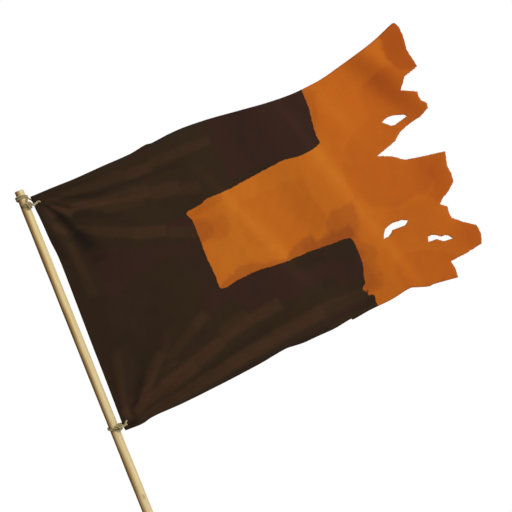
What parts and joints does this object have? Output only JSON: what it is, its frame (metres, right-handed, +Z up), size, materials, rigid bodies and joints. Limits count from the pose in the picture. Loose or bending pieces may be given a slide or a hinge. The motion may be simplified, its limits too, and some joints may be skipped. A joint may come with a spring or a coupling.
{
  "type": "tattered flag on a pole",
  "caption": "Long cloth flag, dark at the hoist and orange at its ragged, holed fly, tied by its hoist corners with twine to a plain wooden pole.",
  "frame": {"origin": "centre of the pole's butt end", "axes": "+Z up the pole to its top, +X from the pole towards the flag's fly, and the face of the flag that the picture shows towards -Y"},
  "size_m": [1.5125, 0.0691, 2.1567],
  "materials": {
    "pale_wood": "bare, smooth",
    "dyed_canvas": "matt, worn and dirty",
    "hemp_twine": "matt, laid strands"
  },
  "bodies": {
    "root": {"pole": "pale_wood", "cloth": "dyed_canvas", "upper_tie": "hemp_twine", "lower_tie": "hemp_twine"}
  },
  "joints": []
}
